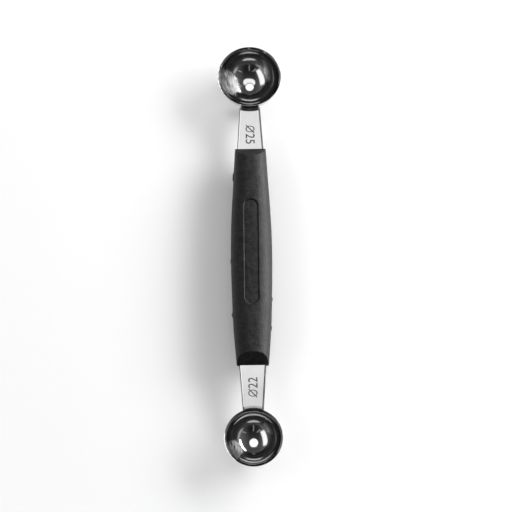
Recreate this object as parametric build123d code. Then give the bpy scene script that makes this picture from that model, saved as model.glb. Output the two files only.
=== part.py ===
from build123d import *
import os
from math import acos, asin, cos, degrees, radians, sin, sqrt

# A double-ended melon baller. One steel strip runs through a moulded grip, and a bowl with a drain hole
# is welded to each end of it. It lies on its bowls, open side up: +Z is up, +Y points to the large bowl,
# and the origin is on the table under the middle of the tool. All lengths are in millimetres.

# Bowls, pressed from sheet, with the rim ground sharp on its inside
large_bore = 25.0
small_bore = 22.0
bowl_wall = 0.8
rim_bevel_height = 0.8
rim_land_share = 0.1
drain_bore = 3.5

# Bare necks of the strip, between the bowls' rims and the grip
strip_thickness = 1.5
strip_edge_round = 0.4
strip_drop = 2.1
neck_length = 18.4
neck_width_at_grip = 11.0
neck_width_at_bowl = 8.1

# Tongues, bent down from the necks and seated on the bowls
bend_inner_radius = 0.8
tongue_end_angle = 50.0
tongue_corner_radius = 2.6
weld_mark_width = 2.4
weld_mark_depth = 0.15
weld_mark_taper_share = 0.8
weld_mark_shares = (0.32, 0.72)

# Tang, the narrower run of the strip inside the grip, and its holes that the moulding fills
neck_seat_depth = 1.5
tang_width = 9.0
key_count = 3
key_length = 9.0
key_width = 4.0

# Moulded grip, a barrel with sloped ends
grip_length = 93.0
grip_width = 17.06
grip_thickness = 15.0
grip_end_slope_run = 5.0
grip_end_land = 2.5
grip_edge_round = 0.7
grip_station_shares = (-1 / 2, -1 / 3, -1 / 6, 0, 1 / 6, 1 / 3, 1 / 2)
grip_width_shares = (0.766, 0.903, 0.968, 1.0, 0.961, 0.858, 0.754)
grip_thickness_shares = (0.860, 0.938, 0.984, 1.0, 0.984, 0.938, 0.860)
grip_corner_share = 0.766

# Bare panel sunk in the top of the grip
panel_length = 45.0
panel_width = 6.3
panel_depth = 0.45
panel_shift = 0.15

# Largest rounding, as a share of the wall that carries it
round_limit_share = 0.45

# Places that follow from the sizes above
large_outer_radius = large_bore / 2 + bowl_wall
small_outer_radius = small_bore / 2 + bowl_wall
overall_length = grip_length + 2 * (neck_length + large_outer_radius + small_outer_radius)
large_bowl_y = overall_length / 2 - large_outer_radius
small_bowl_y = small_outer_radius - overall_length / 2
grip_y = (large_bowl_y - large_outer_radius + small_bowl_y + small_outer_radius) / 2
rim_z = sqrt(max(large_outer_radius, small_outer_radius) ** 2 - (drain_bore / 2) ** 2)
strip_z = rim_z - strip_drop - strip_thickness / 2
bend_outer_radius = bend_inner_radius + strip_thickness


def below_rim(radius, angle):
    """Point in a bowl's section, at an angle below the rim plane as seen from the bowl's centre."""
    return (radius * cos(radians(angle)), -radius * sin(radians(angle)))


def arc_below_rim(radius, start, end):
    """Arc about a bowl's centre, in its section."""
    middle = (start + end) / 2
    return ThreePointArc(below_rim(radius, start), below_rim(radius, middle), below_rim(radius, end))


def bowl(bore):
    """Half-sphere of sheet steel, centred on its own rim plane, with a drain hole at its lowest point."""
    inner = bore / 2
    outer = inner + bowl_wall
    drain = drain_bore / 2
    land = (outer - bowl_wall * rim_land_share, 0)
    bevel_angle = degrees(asin(rim_bevel_height / inner))
    outer_drain_angle = degrees(acos(drain / outer))
    inner_drain_angle = degrees(acos(drain / inner))
    section = make_face(
        [
            Line(land, (outer, 0)),
            arc_below_rim(outer, 0, outer_drain_angle),
            Line(below_rim(outer, outer_drain_angle), below_rim(inner, inner_drain_angle)),
            arc_below_rim(inner, inner_drain_angle, bevel_angle),
            Line(below_rim(inner, bevel_angle), land),
        ]
    )
    return revolve(Plane.XZ * section, Axis.Z)


def seat_angle(outer):
    """Angle below the rim at which the strip's bend meets the outer wall of a bowl."""
    return degrees(asin((strip_drop + bend_outer_radius) / (outer + bend_outer_radius)))


def strip_end_section(outer):
    """Section of a strip's end through its bowl's axis: flat, bend, then a seat on the bowl's wall."""
    back = outer + strip_thickness
    seat = seat_angle(outer)
    turn = 90 - seat
    bend_drop = strip_drop + bend_outer_radius
    bend_reach = (outer + bend_outer_radius) * cos(radians(seat))
    flat_end = bend_reach + neck_length + neck_seat_depth

    def on_bend(radius, angle):
        """Point at an angle from straight up about the bend's centre, on the bowl's side of it."""
        return (bend_reach - radius * sin(radians(angle)), -bend_drop + radius * cos(radians(angle)))

    def bend(radius):
        """Arc of the bend, from the flat to the seat."""
        return ThreePointArc(on_bend(radius, 0), on_bend(radius, turn / 2), on_bend(radius, turn))

    return make_face(
        [
            Line((flat_end, -strip_drop), on_bend(bend_outer_radius, 0)),
            bend(bend_outer_radius),
            arc_below_rim(outer, seat, tongue_end_angle),
            Line(below_rim(outer, tongue_end_angle), below_rim(back, tongue_end_angle)),
            arc_below_rim(back, tongue_end_angle, seat),
            bend(bend_inner_radius),
            Line(on_bend(bend_inner_radius, 0), (flat_end, -strip_drop - strip_thickness)),
            Line((flat_end, -strip_drop - strip_thickness), (flat_end, -strip_drop)),
        ]
    )


def weld_mark(outer, share):
    """Shallow round dent that a welding electrode leaves in the back of a tongue."""
    seat = seat_angle(outer)
    y, z = below_rim(outer + strip_thickness, seat + share * (tongue_end_angle - seat))
    mouth_radius = weld_mark_width / 2
    dent = Cone(mouth_radius * weld_mark_taper_share, mouth_radius, 2 * weld_mark_depth)
    return Plane(origin=(0, y, z), z_dir=(0, y, z)) * dent


def strip_end(outer):
    """One neck with its tongue, about its bowl's centre, with the grip towards +Y."""
    neck_end = outer + neck_length + neck_seat_depth
    spread = (neck_width_at_grip - neck_width_at_bowl) / (2 * neck_length)
    narrow = neck_width_at_bowl / 2 - spread * outer
    wide = narrow + spread * neck_end
    outline = make_face(
        Polyline((-narrow, 0), (narrow, 0), (wide, neck_end), (-wide, neck_end), close=True)
    )
    turned = revolve(Plane.XZ * strip_end_section(outer), Axis.Z)
    end = turned & extrude(Plane.XY.offset(-outer) * outline, amount=outer)

    tip_edges = end.faces().filter_by(GeomType.CONE).edges().sort_by(Axis.X)
    tongue_corners = [tip_edges[0], tip_edges[-1]]
    end = fillet(tongue_corners, min(tongue_corner_radius, 2 * narrow * round_limit_share))
    flanks = end.faces().filter_by(GeomType.PLANE).filter_by(Axis.Z, reverse=True).sort_by(Axis.Y)[:2]
    long_edges = flanks.edges().filter_by(Axis.Z, reverse=True)
    end = fillet(long_edges, min(strip_edge_round, strip_thickness * round_limit_share))
    for share in weld_mark_shares:
        end -= weld_mark(outer, share)
    return end


def shank():
    """The whole strip: two ends, joined by the tang, which has a row of key holes."""
    tang = Box(tang_width, grip_length - 2 * neck_seat_depth, strip_thickness)
    key = extrude(SlotOverall(key_length, key_width, rotation=90), amount=strip_thickness, both=True)
    pitch = grip_length / (key_count + 1)
    for index in range(key_count):
        tang -= Pos(0, (index - (key_count - 1) / 2) * pitch, 0) * key
    large_end = Pos(0, large_bowl_y, rim_z) * Rot(0, 0, 180) * strip_end(large_outer_radius)
    small_end = Pos(0, small_bowl_y, rim_z) * strip_end(small_outer_radius)
    return large_end + Pos(0, grip_y, strip_z) * tang + small_end


def grip_section(width, thickness):
    """Section across the grip: an oval with full shoulders, of four like quarters."""
    side = width / 2
    top = thickness / 2
    corner_x = side * grip_corner_share
    corner_z = top * grip_corner_share
    right, up, left, down = (1, 0), (0, 1), (-1, 0), (0, -1)
    return make_face(
        [
            Spline((side, 0), (corner_x, corner_z), (0, top), tangents=(up, left)),
            Spline((0, top), (-corner_x, corner_z), (-side, 0), tangents=(left, down)),
            Spline((-side, 0), (-corner_x, -corner_z), (0, -top), tangents=(down, right)),
            Spline((0, -top), (corner_x, -corner_z), (side, 0), tangents=(right, up)),
        ]
    )


def grip_barrel(inset):
    """The grip's barrel form about its own middle, drawn in all round by an inset."""
    stations = zip(grip_station_shares, grip_width_shares, grip_thickness_shares)
    sections = [
        Plane.XZ.offset(-place * grip_length)
        * grip_section(wide * grip_width - 2 * inset, thick * grip_thickness - 2 * inset)
        for place, wide, thick in stations
    ]
    return loft(sections)


def grip(strip):
    """The grip, with sloped ends and a panel sunk in its top, moulded round the strip."""
    end = grip_length / 2
    top = grip_thickness / 2
    land = grip_end_land / 2
    shoulder = end - grip_end_slope_run
    side_view = make_face(
        Polyline(
            (end, -land),
            (end, land),
            (shoulder, top),
            (-shoulder, top),
            (-end, land),
            (-end, -land),
            (-shoulder, -top),
            (shoulder, -top),
            close=True,
        )
    )
    body = grip_barrel(0) & extrude(Plane.YZ * side_view, amount=grip_width, both=True)
    end_edges = body.faces().filter_by(GeomType.PLANE).edges().filter_by(Axis.X, reverse=True)
    body = fillet(end_edges, min(grip_edge_round, grip_end_land * round_limit_share))
    panel = Pos(0, panel_shift, 0) * SlotOverall(panel_length, panel_width, rotation=90)
    body -= extrude(panel, amount=grip_thickness) - grip_barrel(panel_depth)
    return Pos(0, grip_y, strip_z) * body - strip


strip = shank()
pieces = {
    "grip": grip(strip),
    "shank": strip,
    "large_bowl": Pos(0, large_bowl_y, rim_z) * bowl(large_bore),
    "small_bowl": Pos(0, small_bowl_y, rim_z) * bowl(small_bore),
}

os.makedirs("parts", exist_ok=True)
for name, piece in pieces.items():
    export_step(piece, f"parts/{name}.step")
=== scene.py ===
import bmesh
import bpy
from math import asin, cos, hypot, pi, radians, sin, sqrt
from mathutils import Euler, Matrix, Quaternion, Vector, noise


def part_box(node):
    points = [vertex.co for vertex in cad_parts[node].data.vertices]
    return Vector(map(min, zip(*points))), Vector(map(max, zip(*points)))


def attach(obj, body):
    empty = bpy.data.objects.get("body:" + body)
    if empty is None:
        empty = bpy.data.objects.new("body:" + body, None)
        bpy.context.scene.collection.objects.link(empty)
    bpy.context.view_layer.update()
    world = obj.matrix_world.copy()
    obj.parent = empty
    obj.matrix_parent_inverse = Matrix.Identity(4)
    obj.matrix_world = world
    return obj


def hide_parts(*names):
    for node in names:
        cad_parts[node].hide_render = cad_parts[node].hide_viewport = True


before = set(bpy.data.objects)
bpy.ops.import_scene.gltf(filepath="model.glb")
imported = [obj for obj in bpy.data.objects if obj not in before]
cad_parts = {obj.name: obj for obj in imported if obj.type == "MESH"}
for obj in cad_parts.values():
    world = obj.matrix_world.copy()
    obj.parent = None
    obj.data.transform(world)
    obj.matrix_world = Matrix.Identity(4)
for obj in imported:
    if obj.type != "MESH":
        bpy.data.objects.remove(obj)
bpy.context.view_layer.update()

# The view. The tool lies on its two bowls and is seen from above, leaning a little towards the small bowl.
# The lens is long, so that the two bowls keep their true proportion.
mm = 0.001
camera_tilt = radians(16.25)
camera_roll = radians(-0.71)
camera_distance = 850 * mm
camera_lens = 145.2
camera_sensor = 36
camera_target_x = 1.84 * mm
camera_target_y = -2.38 * mm


def bowl_centre(bowl_solid):
    """Middle of a bowl's mouth, from the bowl's solid in the frame."""
    low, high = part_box(bowl_solid)
    return Vector(((low.x + high.x) / 2, (low.y + high.y) / 2, high.z))


large_centre = bowl_centre("large_bowl")
small_centre = bowl_centre("small_bowl")
camera_target = Vector((camera_target_x, camera_target_y, large_centre.z))
camera_data = bpy.data.cameras.new("view")
camera_data.lens = camera_lens
camera_data.sensor_width = camera_sensor
camera = bpy.data.objects.new("view", camera_data)
bpy.context.scene.collection.objects.link(camera)
camera.location = camera_target + camera_distance * Vector((0, -sin(camera_tilt), cos(camera_tilt)))
camera.rotation_mode = "QUATERNION"
camera.rotation_quaternion = (
    Euler((camera_tilt, 0, 0)).to_quaternion() @ Quaternion((0, 0, 1), camera_roll)
)
bpy.context.scene.camera = camera
bpy.context.scene.view_settings.view_transform = "Standard"


# The floor. A pale matt sheet that the tool stands on, with the tool's soft shadow on it. Away from the
# tool it turns plain white, to the eye and in what the steel mirrors. Under each drain hole the bowl
# shades the floor, but a small spot of painted light there glows plain white to the eye.
floor_size = 6.0
floor_tones = (0.94, 0.96)
floor_grain = 60
floor_roughness = 0.9
floor_gloss = 0.1
floor_real_radius = 0.085
floor_white_radius = 0.24
# Painted light: a white spot of this radius glows over the bowl's shadow under each drain hole.
painted_glow_spot_radius = 2.0 * mm


def node(material, kind, inputs=(), **settings):
    """Adds a node to a material, a lamp or the room, with values or other nodes' outputs in its sockets."""
    tree = material.node_tree
    made = tree.nodes.new(kind)
    for name, value in settings.items():
        setattr(made, name, value)
    for socket, value in inputs:
        if isinstance(value, bpy.types.NodeSocket):
            tree.links.new(value, made.inputs[socket])
        else:
            made.inputs[socket].default_value = value
    return made


def grey(tone):
    """A colour with no hue."""
    return (tone, tone, tone, 1)


def place_on_piece(material):
    """Where a point lies, in metres, in the frame that all pieces share."""
    return node(material, "ShaderNodeTexCoord").outputs["Object"]


def grained(material, place, scale, detail, harshness=0.5):
    """Uneven grain, between 0 and 1. The scale is how many grains lie along one unit of the place."""
    return node(
        material,
        "ShaderNodeTexNoise",
        [("Vector", place), ("Scale", scale), ("Detail", detail), ("Roughness", harshness)],
    ).outputs["Fac"]


def reckon(material, operation, *values, clamp=False):
    """Arithmetic on values."""
    return node(
        material, "ShaderNodeMath", enumerate(values), operation=operation, use_clamp=clamp
    ).outputs["Value"]


def reckon_places(material, operation, *places):
    """Arithmetic on places. A length or a distance comes out as one value."""
    made = node(material, "ShaderNodeVectorMath", enumerate(places), operation=operation)
    return made.outputs["Value" if operation in ("LENGTH", "DISTANCE") else "Vector"]


def ranged(material, value, start, end, to_start=0.0, to_end=1.0, curve="LINEAR"):
    """Brings a value that runs from start to end to another range, and holds it within that."""
    return node(
        material,
        "ShaderNodeMapRange",
        [
            ("Value", value),
            ("From Min", start),
            ("From Max", end),
            ("To Min", to_start),
            ("To Max", to_end),
        ],
        interpolation_type=curve,
    ).outputs["Result"]


def blended(material, share, first, second, kind="RGBA"):
    """Passes from one colour to another by a share, or from one value to another if its kind is FLOAT."""
    return node(
        material, "ShaderNodeMix", [("Factor", share), ("A", first), ("B", second)], data_type=kind
    ).outputs["Result"]


def seen_directly(material):
    """1 for rays from the eye, or mirrored or bent on their way, and 0 for those that only carry light."""
    path = node(material, "ShaderNodeLightPath").outputs
    mirrored = reckon(material, "ADD", path["Is Glossy Ray"], path["Is Transmission Ray"])
    return reckon(material, "ADD", path["Is Camera Ray"], mirrored, clamp=True)


def new_material(name):
    """A material with nothing in it yet."""
    material = bpy.data.materials.new(name)
    material.use_nodes = True
    material.node_tree.nodes.clear()
    return material


def surface(material, inputs):
    """The shader of a surface."""
    return node(material, "ShaderNodeBsdfPrincipled", inputs).outputs["BSDF"]


def show(material, shader):
    """Ends a material's nodes with the shader that it shows."""
    node(material, "ShaderNodeOutputMaterial", [("Surface", shader)])


def pale_sheet():
    """Matt white sheet, a touch uneven, which passes into plain white, and glows painted white under the
    drain holes.
    """
    material = new_material("pale_sheet")
    place = place_on_piece(material)
    grain = grained(material, place, floor_grain, detail=3)
    colour = blended(material, grain, grey(floor_tones[0]), grey(floor_tones[1]))
    sheet = surface(
        material,
        [("Base Color", colour), ("Roughness", floor_roughness), ("Specular IOR Level", floor_gloss)],
    )
    white = node(material, "ShaderNodeEmission", [("Color", grey(1)), ("Strength", 1.0)])
    reach = reckon_places(material, "LENGTH", place)
    far = ranged(material, reach, floor_real_radius, floor_white_radius, curve="SMOOTHSTEP")
    white_and_glow_share = reckon(material, "MULTIPLY", far, seen_directly(material))
    to_eye = node(material, "ShaderNodeLightPath").outputs["Is Camera Ray"]
    # Painted light: under each drain hole the eye sees plain white glow instead of the bowl's shadow.
    for centre in (large_centre, small_centre):
        apart = reckon_places(material, "DISTANCE", place, (centre.x, centre.y, 0))
        spot = reckon(material, "LESS_THAN", apart, painted_glow_spot_radius)
        white_and_glow_share = reckon(material, "MULTIPLY_ADD", spot, to_eye, white_and_glow_share, clamp=True)
    mixed = node(
        material, "ShaderNodeMixShader", [("Fac", white_and_glow_share), (1, sheet), (2, white.outputs["Emission"])]
    )
    show(material, mixed.outputs["Shader"])
    return material


bpy.ops.object.select_all(action="DESELECT")
bpy.ops.mesh.primitive_plane_add(size=floor_size)
floor = bpy.context.object
floor.name = "floor"
floor.data.materials.append(pale_sheet())


# The bowls. Each is a half-sphere pressed from thin stainless sheet and polished bright inside and out.
# Its rim is ground from the inside to a scooping edge, and a drain hole is punched at its lowest point.
large_bore = 25 * mm
small_bore = 22 * mm
bowl_wall = 0.8 * mm
rim_grind_height = 0.66 * mm
rim_land = 0.08 * mm
drain_radius = 1.75 * mm
drain_lip = 0.28 * mm
drain_lip_steps = 5
bowl_edge_softness = 0.03 * mm
bowl_edge_angle = radians(20)
bowl_smooth_angle = radians(10)
bowl_segments = 192
bowl_rings = 128
cut_fineness = 0.0001 * mm
seam_reach = 10 * cut_fineness

steel_tones = (0.58, 0.66)
steel_roughness = (0.06, 0.14)
fine_rim_depth = 1.5 * mm
fine_rim_roughness_drop = 0.05
wheel_ring_grain = 5000
hairline_grains = (6000, 260, 260)
hairline_turn = (0.2, 0.3, 0.9)
wheel_mark_relief = (0.04, 0.02 * mm)
smear_grain = 240
smear_span = (0.3, 0.75)
press_wave_grain = 210
press_wave_relief = (0.35, 0.06 * mm)

# A scuffed patch has its middle, as shares of the bowl's inner radius, then how fast it ends along each
# axis, to the metre, and how matt it is.
large_scuffs = ((-0.80, 0.0, -0.62), (130, 185, 130), 0.5)
small_scuffs = ((-0.72, -0.34, -0.60), (240, 240, 240), 0.4)
scuff_tones = (0.17, 0.62)
scuff_roughness_shares = (0.55, 1.2)
scuff_edge_grain = 300
scuff_edge_raggedness = 1.2
scuff_edge_span = (1.75, 1.4)
scrape_grains = (2600, 420, 900)
scrape_turn = (0.0, 0.6, 0.8)
scrape_span = (0.36, 0.64)


def select_where(piece, kind, test):
    """In edit mode, selects only the vertices, edges or faces that pass a test."""
    bpy.ops.mesh.select_mode(type=kind)
    bpy.ops.mesh.select_all(action="DESELECT")
    drawn = bmesh.from_edit_mesh(piece.data)
    for part in {"VERT": drawn.verts, "EDGE": drawn.edges, "FACE": drawn.faces}[kind]:
        if test(part):
            part.select_set(True)
    drawn.select_flush_mode()
    bmesh.update_edit_mesh(piece.data)


def middle(edge):
    """Middle point of an edge."""
    return (edge.verts[0].co + edge.verts[1].co) / 2


def cut(axis, place, **clear):
    """Bisects what is selected with a plane square to an axis. What lies beyond it can be cleared."""
    point = [0, 0, 0]
    normal = [0, 0, 0]
    point[axis] = place
    normal[axis] = 1
    bpy.ops.mesh.bisect(plane_co=point, plane_no=normal, threshold=cut_fineness, **clear)


def close_up(piece):
    """Merges the seams of a closed piece and turns all its faces outwards."""
    bpy.ops.mesh.select_all(action="SELECT")
    bpy.ops.mesh.remove_doubles(threshold=cut_fineness)
    bpy.ops.mesh.normals_make_consistent(inside=False)
    if bmesh.from_edit_mesh(piece.data).calc_volume(signed=True) < 0:
        bpy.ops.mesh.flip_normals()


def settle(piece, smooth_angle):
    """Gives a finished piece smooth shading up to its real edges, and puts its place in its mesh."""
    bpy.ops.object.mode_set(mode="OBJECT")
    bpy.ops.object.select_all(action="DESELECT")
    piece.select_set(True)
    bpy.context.view_layer.objects.active = piece
    bpy.ops.object.transform_apply(location=True, rotation=True, scale=True)
    bpy.ops.object.shade_smooth_by_angle(angle=smooth_angle)


def along_axis(material, vector, axis):
    """One part of a place or a direction: X, Y or Z."""
    return node(material, "ShaderNodeSeparateXYZ", [("Vector", vector)]).outputs[axis]


def drawn_out(material, place, scales, turn=(0, 0, 0)):
    """A place that is scaled unevenly and turned, so that the grain laid on it runs one way."""
    return node(
        material, "ShaderNodeMapping", [("Vector", place), ("Rotation", turn), ("Scale", scales)]
    ).outputs["Vector"]


def relief(material, height, strength, depth, under=None):
    """Fine relief of a given height, which can lie on top of another."""
    inputs = [("Height", height), ("Strength", strength), ("Distance", depth)]
    if under is not None:
        inputs.append(("Normal", under))
    return node(material, "ShaderNodeBump", inputs).outputs["Normal"]


def scuffed_patch(material, local, inner, middle_shares, ending):
    """1 on the scuffed patch of a bowl's inner wall and 0 off it, with a ragged edge."""
    off_middle = reckon_places(material, "SUBTRACT", local, Vector(middle_shares) * inner)
    squeezed = reckon_places(material, "MULTIPLY", off_middle, ending)
    apart = reckon_places(material, "LENGTH", squeezed)
    ragged = grained(material, local, scuff_edge_grain, detail=6, harshness=0.75)
    apart_ragged = reckon(material, "MULTIPLY_ADD", ragged, scuff_edge_raggedness, apart)
    patch = ranged(material, apart_ragged, *scuff_edge_span)
    from_centre = reckon_places(material, "LENGTH", local)
    inside = reckon(material, "LESS_THAN", from_centre, inner + bowl_wall / 2)
    return reckon(material, "MULTIPLY", patch, inside)


def polished_steel(name, centre, inner, scuffs):
    """Bright stainless steel, a little wavy from the press, with rings and hairlines of the polishing wheel.
    The ground rim is finer, and one place of the wall is scuffed matt by scoops that scraped along it."""
    material = new_material(name)
    local = node(
        material,
        "ShaderNodeMapping",
        [("Vector", place_on_piece(material)), ("Location", tuple(-centre))],
    ).outputs["Vector"]
    flat = reckon_places(material, "MULTIPLY", local, (1, 1, 0))
    from_axis = reckon_places(material, "LENGTH", flat)
    rings = node(
        material,
        "ShaderNodeTexNoise",
        [("W", from_axis), ("Scale", wheel_ring_grain), ("Detail", 2)],
        noise_dimensions="1D",
    ).outputs["Fac"]
    along_hairs = drawn_out(material, local, hairline_grains, hairline_turn)
    hairlines = grained(material, along_hairs, 1, detail=2)
    along_scrapes = drawn_out(material, local, scrape_grains, scrape_turn)
    scrapes = grained(material, along_scrapes, 1, detail=5, harshness=0.7)
    worn = ranged(material, scrapes, *scrape_span)
    smears = grained(material, local, smear_grain, detail=4)
    waves = grained(material, local, press_wave_grain, detail=1)
    scuff_middle, scuff_ending, matt = scuffs
    scuff = scuffed_patch(material, local, inner, scuff_middle, scuff_ending)

    smeared = ranged(material, smears, *smear_span, *steel_roughness)
    below_rim = along_axis(material, local, "Z")
    rim_span = (-fine_rim_depth, -rim_grind_height)
    finer = ranged(material, below_rim, *rim_span, 0, -fine_rim_roughness_drop)
    polished = reckon(material, "ADD", smeared, finer)
    scuffed = ranged(material, worn, 0, 1, *(share * matt for share in scuff_roughness_shares))
    tint = blended(material, smears, grey(steel_tones[0]), grey(steel_tones[1]))
    scuff_tint = blended(material, worn, grey(scuff_tones[0]), grey(scuff_tones[1]))
    wheel_marks = reckon(material, "ADD", rings, hairlines)
    wavy = relief(material, waves, *press_wave_relief)
    inputs = [
        ("Base Color", blended(material, scuff, tint, scuff_tint)),
        ("Metallic", 1.0),
        ("Roughness", blended(material, scuff, polished, scuffed, "FLOAT")),
        ("Normal", relief(material, wheel_marks, *wheel_mark_relief, wavy)),
    ]
    show(material, surface(material, inputs))
    return material


def press_bowl(name, replaced, centre, bore, scuffs):
    """One bowl, about the axis of the solid that it replaces, with its rim level with that solid's top."""
    inner = bore / 2
    outer = inner + bowl_wall
    drain_level = centre.z - sqrt(inner**2 - drain_radius**2)
    ball = {"segments": bowl_segments, "ring_count": bowl_rings, "location": centre}

    def from_axis(point):
        """Distance of a point from the bowl's axis."""
        return hypot(point.x - centre.x, point.y - centre.y)

    bpy.ops.object.select_all(action="DESELECT")
    bpy.ops.mesh.primitive_uv_sphere_add(radius=outer, **ball)
    bowl = bpy.context.object
    bowl.name = name
    bpy.ops.object.transform_apply(location=True)
    bpy.ops.object.mode_set(mode="EDIT")
    bpy.ops.mesh.select_all(action="SELECT")
    cut(2, centre.z, clear_outer=True)
    bpy.ops.mesh.select_all(action="SELECT")
    cut(2, centre.z - sqrt(outer**2 - drain_radius**2), clear_inner=True)

    bpy.ops.mesh.select_all(action="DESELECT")
    bpy.ops.mesh.primitive_uv_sphere_add(radius=inner, **ball)
    cut(2, centre.z - rim_grind_height, clear_outer=True)
    select_where(bowl, "VERT", lambda v: (v.co - centre).length < inner + bowl_wall / 4)
    cut(2, drain_level, clear_inner=True)

    def at_grind(edge):
        """True for an edge at the lower end of the ground rim."""
        return edge.is_boundary and abs(middle(edge).z - centre.z + rim_grind_height) < bowl_wall / 4

    select_where(bowl, "EDGE", at_grind)
    bpy.ops.mesh.extrude_edges_move(TRANSFORM_OT_translate={"value": (0, 0, rim_grind_height)})
    land_share = (outer - rim_land) / sqrt(inner**2 - rim_grind_height**2)
    bpy.ops.transform.resize(value=(land_share, land_share, 1), center_override=centre)

    def on_inner_wall(face):
        """True for a face of the inner wall or of the ground rim."""
        short_of_rim = max(from_axis(v.co) for v in face.verts) < outer - rim_land / 2
        return short_of_rim and (face.calc_center_median() - centre).length < outer - bowl_wall / 8

    select_where(bowl, "FACE", on_inner_wall)
    bpy.ops.mesh.flip_normals()
    select_where(bowl, "EDGE", lambda edge: edge.is_boundary and middle(edge).z > centre.z - inner / 2)
    bpy.ops.mesh.bridge_edge_loops()
    select_where(bowl, "EDGE", lambda edge: edge.is_boundary)
    bpy.ops.mesh.bridge_edge_loops()
    close_up(bowl)

    def at_lip(corner):
        """True for a corner on the inner mouth of the drain hole."""
        level_there = abs(corner.co.z - drain_level) < seam_reach
        return level_there and from_axis(corner.co) < drain_radius + seam_reach

    select_where(bowl, "EDGE", lambda edge: all(at_lip(corner) for corner in edge.verts))
    bpy.ops.mesh.bevel(offset=drain_lip, segments=drain_lip_steps, affect="EDGES")
    bpy.ops.mesh.select_mode(type="EDGE")
    bpy.ops.mesh.select_all(action="DESELECT")
    bpy.ops.mesh.edges_select_sharp(sharpness=bowl_edge_angle)
    bpy.ops.mesh.bevel(offset=bowl_edge_softness, segments=2, affect="EDGES")
    settle(bowl, bowl_smooth_angle)
    bowl.data.materials.append(polished_steel(name + "_steel", centre, inner, scuffs))
    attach(bowl, "root")
    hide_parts(replaced)
    return bowl


large_bowl = press_bowl("large_bowl_pressing", "large_bowl", large_centre, large_bore, large_scuffs)
press_bowl("small_bowl_pressing", "small_bowl", small_centre, small_bore, small_scuffs)


# The strip. One stainless strip is blanked flat, with three holes that key it into the moulding. Each end
# is then bent down and dished by a press, to sit on the wall of its bowl, where it is spot welded.
strip_thickness = 1.5 * mm
strip_drop = 2.1 * mm
strip_roll_width = 0.72 * mm
strip_roll_shares = (0.5, 1.0)
strip_roll_drops = (0.125 * mm, 0.43 * mm)
flat_bevel_profile = 0.25
strip_smooth_angle = radians(14)
neck_length = 18.4 * mm
neck_seat_depth = 1.5 * mm
neck_width_at_grip = 11.0 * mm
neck_width_at_bowl = 8.1 * mm
tang_width = 9.0 * mm
bend_inner_radius = 0.8 * mm
tongue_end_angle = radians(50)
tongue_corner_radius = 2.6 * mm
tongue_corner_steps = 12
key_count = 3
key_length = 9.0 * mm
key_width = 4.0 * mm
key_segments = 48
weld_mark_radius = 1.2 * mm
weld_mark_depth = 0.15 * mm
weld_mark_shares = (0.32, 0.72)
forming_step = 0.25 * mm
column_step = 0.4 * mm
row_fineness = 0.015 * mm
upright_limit = 0.1
level_limit = 0.9

strip_tones = (0.49, 0.57)
strip_roughness = (0.10, 0.17)
rolling_line_grains = (7000, 160, 7000)
rolling_line_relief = (0.08, 0.02 * mm)
handling_grain = 180

grip_low, grip_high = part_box("grip")
grip_middle = (grip_low + grip_high) / 2
grip_length = grip_high.y - grip_low.y
tang_length = grip_length - 2 * neck_seat_depth
strip_bottom = large_centre.z - strip_drop - strip_thickness
bend_middle_radius = bend_inner_radius + strip_thickness / 2
bend_outer_radius = bend_inner_radius + strip_thickness
bend_drop = strip_drop + bend_outer_radius
neck_spread = (neck_width_at_grip - neck_width_at_bowl) / (2 * neck_length)


class Forming:
    """The press tool for one end of the strip: its bowl, and the runs that bend and tongue take up."""

    def __init__(self, centre, bore, away):
        self.centre = centre
        self.away = away
        self.outer = bore / 2 + bowl_wall
        self.tongue_radius = self.outer + strip_thickness / 2
        self.seat = asin(bend_drop / (self.outer + bend_outer_radius))
        self.reach = (self.outer + bend_outer_radius) * cos(self.seat)
        self.bend_run = bend_middle_radius * (pi / 2 - self.seat)
        self.tongue_run = self.tongue_radius * (tongue_end_angle - self.seat)
        self.start = centre.y - away * self.reach
        self.tip = self.start + away * (self.bend_run + self.tongue_run)

    def half_width(self, reach):
        """Half of the strip's width, at a distance from the bowl's axis."""
        return neck_width_at_bowl / 2 + neck_spread * (reach - self.outer)

    def section(self, run, height):
        """Where a point lies in the end's section: its distance from the bowl's axis, and its height."""
        if run <= 0:
            return self.reach - run, -strip_drop - strip_thickness / 2 + height
        if run <= self.bend_run:
            angle = run / bend_middle_radius
            radius = bend_middle_radius + height
            return self.reach - radius * sin(angle), -bend_drop + radius * cos(angle)
        angle = self.seat + (run - self.bend_run) / self.tongue_radius
        radius = self.tongue_radius - height
        return radius * cos(angle), -radius * sin(angle)

    def form(self, point):
        """Moves a point of the flat blank to its place on the formed strip."""
        run = (point.y - self.start) * self.away
        if run < -neck_length:
            return
        height = point.z - strip_bottom - strip_thickness / 2
        reach, level = self.section(run, height)
        fade = min(1, 1 + run / neck_length)
        round_bowl = sqrt(reach**2 - point.x**2)
        reach += (round_bowl - reach) * fade
        point.y = self.centre.y - self.away * reach
        point.z = self.centre.z + level


def bar_cutter(length, width, height, place):
    """A bar with round ends, along Y, to cut with."""
    bpy.ops.object.select_all(action="DESELECT")
    bpy.ops.mesh.primitive_cylinder_add(
        vertices=key_segments, radius=width / 2, depth=height, location=place
    )
    cutter = bpy.context.object
    bpy.ops.object.transform_apply(location=True)
    bpy.ops.object.mode_set(mode="EDIT")
    for side in (-1, 1):
        select_where(cutter, "VERT", lambda v: (v.co.y - place.y) * side > 0)
        bpy.ops.transform.translate(value=(0, side * (length - width) / 2, 0))
    bpy.ops.object.mode_set(mode="OBJECT")
    return cutter


def cut_away(piece, cutter):
    """Cuts a cutter out of a piece, and deletes the cutter."""
    bpy.ops.object.select_all(action="DESELECT")
    piece.select_set(True)
    bpy.context.view_layer.objects.active = piece
    hole = piece.modifiers.new("hole", "BOOLEAN")
    hole.operation = "DIFFERENCE"
    hole.solver = "EXACT"
    hole.object = cutter
    bpy.ops.object.modifier_apply(modifier=hole.name)
    bpy.data.objects.remove(cutter)


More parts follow.
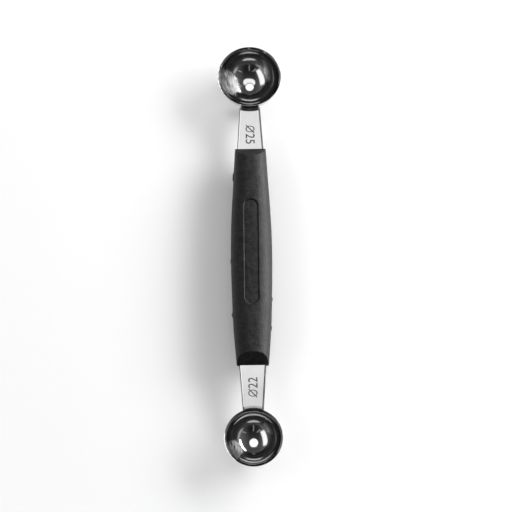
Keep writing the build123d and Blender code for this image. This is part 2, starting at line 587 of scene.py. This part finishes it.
def blank_strip(ends):
    """The flat blank: necks that narrow towards the bowls, tongues with round corners, and the tang."""
    bpy.ops.object.select_all(action="DESELECT")
    bpy.ops.mesh.primitive_plane_add(size=1, location=(0, 0, strip_bottom))
    strip = bpy.context.object
    strip.name = "formed_strip"
    bpy.ops.object.transform_apply(location=True)
    bpy.ops.object.mode_set(mode="EDIT")
    neck_seat = grip_length / 2 - neck_seat_depth
    for end in ends:
        select_where(strip, "VERT", lambda v: v.co.y * end.away > 0)
        bpy.ops.transform.translate(value=(0, end.tip - end.away / 2, 0))
        bpy.ops.mesh.select_all(action="SELECT")
        cut(1, grip_middle.y + end.away * neck_seat)
    for end in ends:
        seat_y = grip_middle.y + end.away * neck_seat
        tip_reach = end.outer * cos(tongue_end_angle)
        for y, reach in ((end.tip, tip_reach), (seat_y, abs(end.centre.y - seat_y))):
            select_where(strip, "VERT", lambda v: abs(v.co.y - y) < forming_step)
            bpy.ops.transform.resize(value=(2 * end.half_width(reach), 1, 1), center_override=(0, y, 0))

    def on_tang(face):
        """True for a face between the two neck seats."""
        return abs(face.calc_center_median().y - grip_middle.y) < neck_seat / 2

    for side in (-1, 1):
        select_where(strip, "FACE", on_tang)
        cut(0, side * tang_width / 2)
    select_where(strip, "FACE", lambda face: abs(face.calc_center_median().x) > tang_width / 2)
    bpy.ops.mesh.delete(type="FACE")
    select_where(strip, "VERT", lambda v: any(abs(v.co.y - end.tip) < forming_step for end in ends))
    bpy.ops.mesh.bevel(offset=tongue_corner_radius, segments=tongue_corner_steps, affect="VERTICES")
    bpy.ops.mesh.select_all(action="SELECT")
    bpy.ops.mesh.extrude_region_move(TRANSFORM_OT_translate={"value": (0, 0, strip_thickness)})
    close_up(strip)
    bpy.ops.object.mode_set(mode="OBJECT")
    return strip


def outline_edge(edge):
    """True for an edge between a broad face of the strip and its rim, outside the tang."""
    if len(edge.link_faces) != 2 or abs(middle(edge).y - grip_middle.y) < tang_length / 2 + forming_step:
        return False
    steep = sorted(abs(face.normal.z) for face in edge.link_faces)
    return steep[0] < upright_limit and steep[1] > level_limit


def form_strip(strip, ends):
    """Rolls the blank's edges down, divides it finely where it bends, presses both ends, and dents the
    welds."""
    bpy.context.view_layer.objects.active = strip
    bpy.ops.object.mode_set(mode="EDIT")
    select_where(strip, "EDGE", outline_edge)
    bpy.ops.mesh.bevel(offset=strip_roll_width, segments=2, profile=flat_bevel_profile, affect="EDGES")
    for side, level in ((1, strip_bottom + strip_thickness), (-1, strip_bottom)):
        for share, drop in zip(strip_roll_shares, strip_roll_drops):
            bevelled = level - side * strip_roll_width * share
            select_where(strip, "VERT", lambda v: abs(v.co.z - bevelled) < row_fineness)
            bpy.ops.transform.translate(value=(0, 0, level - side * drop - bevelled))
    columns = int(neck_width_at_grip / 2 / column_step)
    for column in range(-columns, columns + 1):
        bpy.ops.mesh.select_all(action="SELECT")
        cut(0, column * column_step)
    for end in ends:
        rows = int((end.bend_run + end.tongue_run) / forming_step)
        for row in range(-1, rows + 1):
            select_where(
                strip,
                "FACE",
                lambda face: (face.calc_center_median().y - end.start) * end.away > -neck_length,
            )
            cut(1, end.start + end.away * row * forming_step)
    drawn = bmesh.from_edit_mesh(strip.data)
    for corner in drawn.verts:
        for end in ends:
            end.form(corner.co)
    for end in ends:
        back = end.outer + strip_thickness
        for share in weld_mark_shares:
            angle = end.seat + share * (tongue_end_angle - end.seat)
            mark = end.centre + back * Vector((0, -end.away * cos(angle), -sin(angle)))
            for corner in drawn.verts:
                apart = (corner.co - mark).length / weld_mark_radius
                if apart < 1:
                    inward = (end.centre - corner.co).normalized()
                    corner.co += inward * weld_mark_depth * (1 - apart**4)
    bmesh.update_edit_mesh(strip.data)
    close_up(strip)


def satin_steel():
    """Rolled stainless strip: a satin face with fine lines along its length, a little uneven by handling."""
    material = new_material("satin_strip_steel")
    place = place_on_piece(material)
    lines = grained(material, drawn_out(material, place, rolling_line_grains), 1, detail=4)
    smears = grained(material, place, handling_grain, detail=4)
    inputs = [
        ("Base Color", blended(material, lines, grey(strip_tones[0]), grey(strip_tones[1]))),
        ("Metallic", 1.0),
        ("Roughness", ranged(material, smears, *smear_span, *strip_roughness)),
        ("Normal", relief(material, lines, *rolling_line_relief)),
    ]
    show(material, surface(material, inputs))
    return material


strip_ends = (Forming(large_centre, large_bore, 1), Forming(small_centre, small_bore, -1))
formed_strip = blank_strip(strip_ends)
for index in range(key_count):
    key_y = grip_middle.y + (index - (key_count - 1) / 2) * grip_length / (key_count + 1)
    key_place = Vector((0, key_y, strip_bottom + strip_thickness / 2))
    cut_away(formed_strip, bar_cutter(key_length, key_width, 3 * strip_thickness, key_place))
form_strip(formed_strip, strip_ends)
settle(formed_strip, strip_smooth_angle)
formed_strip.data.materials.append(satin_steel())
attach(formed_strip, "root")
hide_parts("shank")


# The size marks. The bore of each bowl is etched dark on the neck beside it, as a diameter sign and plain
# figures, which run towards the grip.
large_mark_y = 55.4 * mm
small_mark_y = -61.1 * mm
small_mark_x = -0.1 * mm
mark_height = 3.85 * mm
mark_length = 8.1 * mm
figures_length = 4.5 * mm
figure_spacing = 1.06
ring_size = (3.1 * mm, 3.9 * mm)
ring_segments = 64
ring_tube_segments = 12
stroke = 0.56 * mm
stroke_weight = 0.03 * mm
ring_stroke_share = 1.3
slash_stroke_share = 0.85
slash_length = 4.9 * mm
slash_turn = radians(45)
mark_proud = 0.012 * mm
mark_depth = 0.06 * mm
large_etch_tones = (0.02, 0.10)
small_etch_tones = (0.0333, 0.1667)
etch_roughness = 0.6
etch_grain = 1500
etch_relief = (0.2, 0.02 * mm)


def etched(name, tones):
    """The matt dark grey of an etched figure, worn thin in places."""
    material = new_material(name)
    wear = grained(material, place_on_piece(material), etch_grain, detail=5)
    inputs = [
        ("Base Color", blended(material, wear, grey(tones[0]), grey(tones[1]))),
        ("Roughness", etch_roughness),
        ("Normal", relief(material, wear, *etch_relief)),
    ]
    show(material, surface(material, inputs))
    return material


def figures_mesh(name, figures):
    """Plain figures, drawn flat about the world's origin at their set size."""
    bpy.ops.object.select_all(action="DESELECT")
    bpy.ops.object.text_add()
    text = bpy.context.object
    text.name = name
    text.data.body = figures
    text.data.size = mark_height
    text.data.extrude = mark_depth / 2
    text.data.offset = stroke_weight
    text.data.space_character = figure_spacing
    bpy.ops.object.convert(target="MESH")
    bpy.ops.object.mode_set(mode="EDIT")
    close_up(text)
    bpy.ops.object.mode_set(mode="OBJECT")
    corners = [v.co for v in text.data.vertices]
    low = Vector([min(c[axis] for c in corners) for axis in range(3)])
    high = Vector([max(c[axis] for c in corners) for axis in range(3)])
    size = high - low
    scale = Matrix.Diagonal((figures_length / size.x, mark_height / size.y, 1, 1))
    text.data.transform(scale @ Matrix.Translation(-(low + high) / 2))
    return text


def diameter_sign():
    """An upright ring with a long slash through it, drawn flat about the world's origin."""
    tube_share = ring_stroke_share * stroke / ring_size[1]
    ring_half = [(side - stroke) / 2 for side in ring_size]
    bpy.ops.object.select_all(action="DESELECT")
    bpy.ops.mesh.primitive_torus_add(
        major_radius=1,
        minor_radius=tube_share,
        major_segments=ring_segments,
        minor_segments=ring_tube_segments,
    )
    ring = bpy.context.object
    bpy.ops.transform.resize(value=(*ring_half, mark_depth / 2 / tube_share))
    bpy.ops.mesh.primitive_cube_add(size=1, rotation=(0, 0, slash_turn))
    slash = bpy.context.object
    slash_size = (slash_length, stroke * slash_stroke_share, mark_depth)
    bpy.ops.transform.resize(value=slash_size, orient_type="LOCAL")
    slash.select_set(True)
    ring.select_set(True)
    bpy.context.view_layer.objects.active = ring
    bpy.ops.object.transform_apply(location=True, rotation=True, scale=True)
    bpy.ops.object.join()
    return ring


def etch_mark(name, figures, place, turn, tones):
    """One mark, from its sign's outer end at a place, running towards the grip."""
    mark = figures_mesh(name, figures)
    mark.data.transform(Matrix.Translation(((mark_length - figures_length) / 2, 0, 0)))
    sign = diameter_sign()
    sign.data.transform(Matrix.Translation(((ring_size[0] - mark_length) / 2, 0, 0)))
    bpy.ops.object.select_all(action="DESELECT")
    sign.select_set(True)
    mark.select_set(True)
    bpy.context.view_layer.objects.active = mark
    bpy.ops.object.join()
    x, outer_y = place
    mark_z = strip_bottom + strip_thickness + mark_proud - mark_depth / 2
    spot = Matrix.Translation((x, outer_y + turn * mark_length / 2, mark_z))
    mark.data.transform(spot @ Matrix.Rotation(turn * pi / 2, 4, "Z"))
    mark.data.materials.append(etched(name + "_etch", tones))
    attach(mark, "root")


etch_mark("large_size_mark", "25", (0, large_mark_y), -1, large_etch_tones)
etch_mark("small_size_mark", "22", (small_mark_x, small_mark_y), 1, small_etch_tones)


# The grip. Black polypropylene, moulded round the strip in a two-part tool, so a thin line of flash runs
# round its widest part. It is a slim barrel with sloped ends and a long bare panel sunk in its top.
grip_width = 17.06 * mm
grip_thickness = 15 * mm
grip_width_shares = (0.766, 0.903, 0.968, 1.0, 0.961, 0.858, 0.754)
grip_thickness_shares = (0.860, 0.938, 0.984, 1.0, 0.984, 0.938, 0.860)
grip_fullness = 2.6
grip_smooth_angle = radians(35)
end_slope_run = 5.0 * mm
end_land = 2.5 * mm
end_round = 0.7 * mm
end_round_shares = (0, 0.05, 0.2, 0.5, 1)
slope_round = 0.45 * mm
panel_length = 45 * mm
panel_width = 6.3 * mm
panel_depth = 0.45 * mm
panel_shift = 0.15 * mm
panel_wall_run = 0.3 * mm
panel_wall_shares = (1, 0.66, 0.33, 0)
fine_row = 0.25 * mm
plain_row = 0.9 * mm
panel_wall_clear = 1.6 * fine_row
panel_margins = (0.5 * fine_row, 1.5 * fine_row)
side_columns = 64

# The flash lies between two shares of the way round. A torn nib of it has its side, its place along the
# grip, its half length and its height.
flash_height = 0.05 * mm
flash_height_shares = (0.7, 0.5)
flash_half_width = 0.16 * mm
flash_ragged_run = 0.7 * mm
flash_shares = (0.4985, 0.5015)
nib_ragged_share = 0.6
flash_nibs = (
    (-1, 34.2 * mm, 2.0 * mm, 0.36 * mm),
    (-1, -2.2 * mm, 1.0 * mm, 0.26 * mm),
    (-1, -25.1 * mm, 1.0 * mm, 0.34 * mm),
    (1, -18.6 * mm, 0.9 * mm, 0.28 * mm),
    (1, -30.7 * mm, 0.9 * mm, 0.28 * mm),
)

plastic_tones = (0.001, 0.016)
plastic_roughness = (0.48, 0.61)
plastic_ior = 1.49
plastic_grain = 1900
plastic_mottle = 420
plastic_relief = (0.8, 0.26 * mm)
hand_rub_grain = 90
hand_rub_share = 0.4
hand_rub_span = (0.35, 0.65)
# Faces turned towards the small bowl get less sheen: painted shade on the end that faces away from the
# light.
small_end_facing = (-0.6, -0.4)
small_end_painted_shade_gloss = (0.12, 0.36)
patch_span = (0.75, 1.25)
patch_gloss_shares = (0.72, 1.28)


def along(shares, place):
    """A smooth line through evenly spaced shares, read at a place from 0 to 1."""
    steps = len(shares) - 1
    step = min(int(place * steps), steps - 1)
    t = place * steps - step
    a, b = shares[step], shares[step + 1]
    slope_a = (b - shares[step - 1]) / 2 if step > 0 else b - a
    slope_b = (shares[step + 2] - a) / 2 if step < steps - 1 else b - a
    return (
        (2 * t**3 - 3 * t**2 + 1) * a
        + (t**3 - 2 * t**2 + t) * slope_a
        + (3 * t**2 - 2 * t**3) * b
        + (t**3 - t**2) * slope_b
    )


def soft_step(value):
    """0 below 0, 1 above 1, and a smooth rise between."""
    value = max(0.0, min(1.0, value))
    return value * value * (3 - 2 * value)


def grip_rows():
    """Places along the grip, from its middle: close together at the ends and over the panel."""
    half = grip_length / 2
    panel_half = panel_length / 2 + 2 * fine_row
    rows = [half - share * end_round for share in end_round_shares]
    while rows[-1] > half - end_slope_run:
        rows.append(rows[-1] - fine_row)
    while rows[-1] > panel_half + plain_row:
        rows.append(rows[-1] - plain_row)
    rows.append(panel_half)
    while rows[-1] > fine_row:
        rows.append(rows[-1] - fine_row)
    rows[-1] = 0.0
    return [-y for y in rows[:-1]] + rows[::-1]


def grip_columns():
    """Places round the grip. Over the panel they are distances from the middle line, as (x, None). From
    there down to the bottom they are shares of the way round, as (side, share)."""
    wall = panel_width / 2
    across = [0.0]
    while across[-1] < wall - panel_wall_clear:
        across.append(across[-1] + fine_row)
    across += [wall - share * panel_wall_run for share in panel_wall_shares]
    across += [wall + margin for margin in panel_margins]
    way_round = sorted([step / side_columns for step in range(1, side_columns)] + list(flash_shares))
    right = [(x, None) for x in across]
    right += [(1, share) for share in way_round + [1.0]]
    left = [(-x, None) for x in across[1:]]
    left += [(-1, share) for share in way_round]
    return right + left[::-1]


def round_section(column, half_width, half_thickness):
    """A point of the grip's section: an oval with full shoulders."""
    place, share = column
    if share is None:
        fall = (abs(place) / half_width) ** grip_fullness
        return place, half_thickness * (1 - fall) ** (1 / grip_fullness)
    edge = panel_width / 2 + panel_margins[-1]
    start = asin((edge / half_width) ** (grip_fullness / 2))
    angle = start + share * (pi - 2 * start) if share < 0.5 else share * pi
    power = 2 / grip_fullness
    rise = cos(angle)
    height = half_thickness * abs(rise) ** power * (1 if rise > 0 else -1)
    return place * half_width * abs(sin(angle)) ** power, height


def flash(y, side):
    """How far the moulding's flash stands out at a place: an uneven thin line with a few torn nibs."""
    ragged = noise.noise(Vector((y / flash_ragged_run, side, 0.5)))
    height = flash_height * (flash_height_shares[0] + flash_height_shares[1] * ragged)
    for nib_side, place, half_length, nib_height in flash_nibs:
        if nib_side == side and abs(y - place) < half_length:
            fall = 1 - (abs(y - place) / half_length) ** 4
            height += nib_height * (1 + nib_ragged_share * ragged) * fall
    return height


def grip_point(column, y):
    """A point on the grip's surface, from the grip's middle."""
    half = grip_length / 2
    share = y / grip_length + 0.5
    half_width = along(grip_width_shares, share) * grip_width / 2
    half_thickness = along(grip_thickness_shares, share) * grip_thickness / 2
    x, z = round_section(column, half_width, half_thickness)
    to_end = half - abs(y)
    tuck = end_round - sqrt(max(0, end_round**2 - (end_round - min(to_end, end_round)) ** 2))
    limit = end_land / 2 + to_end * (grip_thickness - end_land) / 2 / end_slope_run
    spare = limit - abs(z)
    eased = min(abs(z), limit)
    if abs(spare) < slope_round:
        eased = abs(z) - (slope_round - spare) ** 2 / (4 * slope_round)
    z = (1 if z > 0 else -1) * eased
    if abs(z) < flash_half_width and abs(x) > half_width / 2:
        side = 1 if x > 0 else -1
        x += side * flash(y, side) * (1 - abs(z) / flash_half_width)
    x *= 1 - tuck / half_width
    z *= 1 - tuck / max(limit, end_round)
    if z > 0 and abs(x) < panel_width:
        past = max(0, abs(y - panel_shift) - (panel_length - panel_width) / 2)
        inside = panel_width / 2 - hypot(x, past)
        z -= panel_depth * soft_step(inside / panel_wall_run)
    return Vector((x, y, z))


def mould_grip():
    """Wraps a sheet round into the grip's skin, joins its seam, and closes its ends."""
    rows = grip_rows()
    columns = grip_columns()
    middle_of_grip = Vector((0, grip_middle.y, strip_bottom + strip_thickness / 2))
    bpy.ops.object.select_all(action="DESELECT")
    bpy.ops.mesh.primitive_grid_add(x_subdivisions=len(columns), y_subdivisions=len(rows) - 1, size=1)
    grip = bpy.context.object
    grip.name = "moulded_grip"
    bpy.ops.object.mode_set(mode="EDIT")
    drawn = bmesh.from_edit_mesh(grip.data)
    for corner in drawn.verts:
        column = round((corner.co.x + 1 / 2) * len(columns)) % len(columns)
        row = round((corner.co.y + 1 / 2) * (len(rows) - 1))
        corner.co = middle_of_grip + grip_point(columns[column], rows[row])
    bmesh.update_edit_mesh(grip.data)
    close_up(grip)
    select_where(grip, "EDGE", lambda edge: edge.is_boundary)
    bpy.ops.mesh.edge_face_add()
    close_up(grip)
    return grip


def black_polypropylene():
    """Charcoal black moulding with a fine mottled grain, uneven where hands have rubbed it. Its sloped end
    at the small bowl, which faces away from the light, gets less sheen than the rest, as painted shade."""
    material = new_material("black_polypropylene")
    place = place_on_piece(material)
    grain = grained(material, place, plastic_grain, detail=3, harshness=0.6)
    mottle = grained(material, place, plastic_mottle, detail=4, harshness=0.65)
    cloud = grained(material, place, hand_rub_grain, detail=3)
    rubbed = blended(material, hand_rub_share, mottle, cloud, "FLOAT")
    height = reckon(material, "ADD", grain, mottle)
    facing = node(material, "ShaderNodeNewGeometry").outputs["True Normal"]
    # Painted shade: less sheen on the sloped end that faces away from the light.
    gloss_with_painted_end_shade = ranged(material, along_axis(material, facing, "Y"), *small_end_facing, *small_end_painted_shade_gloss)
    patchy = ranged(material, height, *patch_span, *patch_gloss_shares)
    inputs = [
        ("Base Color", blended(material, mottle, grey(plastic_tones[0]), grey(plastic_tones[1]))),
        ("Roughness", ranged(material, rubbed, *hand_rub_span, *plastic_roughness)),
        ("IOR", plastic_ior),
        ("Specular IOR Level", reckon(material, "MULTIPLY", gloss_with_painted_end_shade, patchy)),
        ("Normal", relief(material, height, *plastic_relief)),
    ]
    show(material, surface(material, inputs))
    return material


moulded_grip = mould_grip()
settle(moulded_grip, grip_smooth_angle)
moulded_grip.data.materials.append(black_polypropylene())
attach(moulded_grip, "root")
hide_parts("grip")


# The light. A strong soft lamp stands low on the right, and dimmer cards hang on the left and overhead in a
# dim room, so that the steel shows bright panels against dark. The floor has lamps of its own, and some
# lamps and cards light one piece alone.
room_fill = 0.39
horizon_tone = 0.35
horizon_span = (0.02, 0.12)
ceiling_span = (-0.7, 0.7)
ceiling_tones = (0.016, 0.09)
side_span = (0.3, 0.9)
side_tone = 0.12


def soft_panel(
    name,
    azimuth,
    elevation,
    distance,
    size,
    brightness,
    feather,
    shape="RECTANGLE",
    roll=0,
    lit=(),
    blocked_by=(),
    again=1.0,
):
    """A lamp that faces the tool. Brightness is how bright its face looks, where 1 is white. Its edges fade
    out over a share of its half size. It can be flagged off from all but some pieces, and dimmed in the
    second reflections inside the bowls. Its shadows can be kept to those of some pieces."""
    data = bpy.data.lights.new(name, "AREA")
    data.shape = shape
    data.size, data.size_y = size
    data.energy = pi * data.size * data.size_y * brightness * (pi / 4 if shape == "ELLIPSE" else 1)
    data.use_nodes = True
    data.node_tree.nodes.clear()
    on_face = node(data, "ShaderNodeNewGeometry").outputs["Parametric"]
    centred = reckon_places(data, "MULTIPLY_ADD", on_face, (2, 2, 0), (-1, -1, 0))
    fades = []
    for axis in "XY":
        off_centre = reckon(data, "ABSOLUTE", along_axis(data, centred, axis))
        fades.append(ranged(data, off_centre, 1, 1 - feather, curve="SMOOTHSTEP"))
    depth = node(data, "ShaderNodeLightPath").outputs["Glossy Depth"]
    seen = ranged(data, depth, 1, 2, 1, again)
    strength = reckon(data, "MULTIPLY", reckon(data, "MULTIPLY", *fades), seen)
    glow = node(data, "ShaderNodeEmission", [("Strength", strength)])
    node(data, "ShaderNodeOutputLight", [("Surface", glow.outputs["Emission"])])
    lamp = bpy.data.objects.new(name, data)
    bpy.context.scene.collection.objects.link(lamp)
    level = cos(radians(elevation))
    out = Vector((sin(radians(azimuth)) * level, cos(radians(azimuth)) * level, sin(radians(elevation))))
    lamp.location = out * distance
    lamp.rotation_mode = "QUATERNION"
    lamp.rotation_quaternion = out.to_track_quat("Z", "Y") @ Quaternion((0, 0, 1), radians(roll))
    lamp.visible_camera = False
    for link, pieces in (("receiver_collection", lit), ("blocker_collection", blocked_by)):
        if pieces:
            linked = bpy.data.collections.new(name + "_" + link)
            for piece in pieces:
                linked.objects.link(piece)
            setattr(lamp.light_linking, link, linked)


def dim_room():
    """A dim room: a ceiling that is a little lighter at the back and the sides, a pale horizon, and an even
    fill of light. The eye sees it white."""
    room = bpy.data.worlds.new("dim_room")
    room.use_nodes = True
    room.node_tree.nodes.clear()
    way = node(room, "ShaderNodeTexCoord").outputs["Generated"]
    ceiling = ranged(room, along_axis(room, way, "Y"), *ceiling_span, *ceiling_tones)
    aside = reckon(room, "ABSOLUTE", along_axis(room, way, "X"))
    upper = reckon(room, "ADD", ceiling, ranged(room, aside, *side_span, 0, side_tone))
    rise = ranged(room, along_axis(room, way, "Z"), *horizon_span)
    mirrored = blended(room, rise, horizon_tone, upper, "FLOAT")
    light = blended(room, seen_directly(room), room_fill, mirrored, "FLOAT")
    to_eye = node(room, "ShaderNodeLightPath").outputs["Is Camera Ray"]
    seen = blended(room, to_eye, light, 1.0, "FLOAT")
    glow = node(room, "ShaderNodeBackground", [("Color", seen), ("Strength", 1.0)])
    node(room, "ShaderNodeOutputWorld", [("Surface", glow.outputs["Background"])])
    return room


# Each lamp has its azimuth and elevation in degrees, its distance and size in metres, its brightness and how
# much of its edges fades. Under the floor's high lamp only the grip and the strip throw a shadow.
tool_pieces = [piece for piece in bpy.data.objects if piece.type == "MESH" and piece != floor]
long_pieces = [moulded_grip, formed_strip]
soft_panel("right_lamp", 62, 27.5, 1.1, (1.12, 0.38), 15.5, 0.12, lit=tool_pieces, again=0.03)
soft_panel("floor_lamp_high", 62, 36, 1.1, (1.12, 0.36), 4.5, 0.12, lit=[floor], blocked_by=long_pieces)
soft_panel("floor_lamp_low", 63, 26.5, 1.1, (1.2, 0.45), 9.0, 0.3, lit=[floor])
soft_panel("grip_lamp", 82, 9, 1.1, (1.2, 0.28), 19.0, 0.3, lit=[moulded_grip])
soft_panel("left_card", -101, 41.5, 1.05, (1.38, 0.46), 1.42, 0.3, again=0.5)
soft_panel("overhead_card", 0, 70, 1.17, (0.60, 0.40), 1.3, 0.4)
soft_panel("bowl_card", 4, 75.5, 0.382, (0.32, 0.21), 1.4, 0.1, "ELLIPSE", lit=[large_bowl], again=0.0)
soft_panel("edge_card", -62, 45, 1.1, (0.5, 0.5), 1.7, 0.2, lit=[formed_strip])
soft_panel("neck_card", 0, 78, 1.15, (0.7, 0.36), 1.1, 0.5, lit=[formed_strip])
soft_panel("bend_card", 180, 76.5, 1.15, (0.5, 0.9), 0.75, 0.2, lit=[formed_strip])
soft_panel("gap_south", 180, 36, 1.2, (0.05, 0.66), 0.6, 0.2)
soft_panel("gap_east", 130, 36, 1.2, (0.06, 0.42), 0.5, 0.2, roll=22)
soft_panel("gap_west", 207, 44, 1.2, (0.06, 0.42), 0.55, 0.2, roll=-22)
bpy.context.scene.world = dim_room()
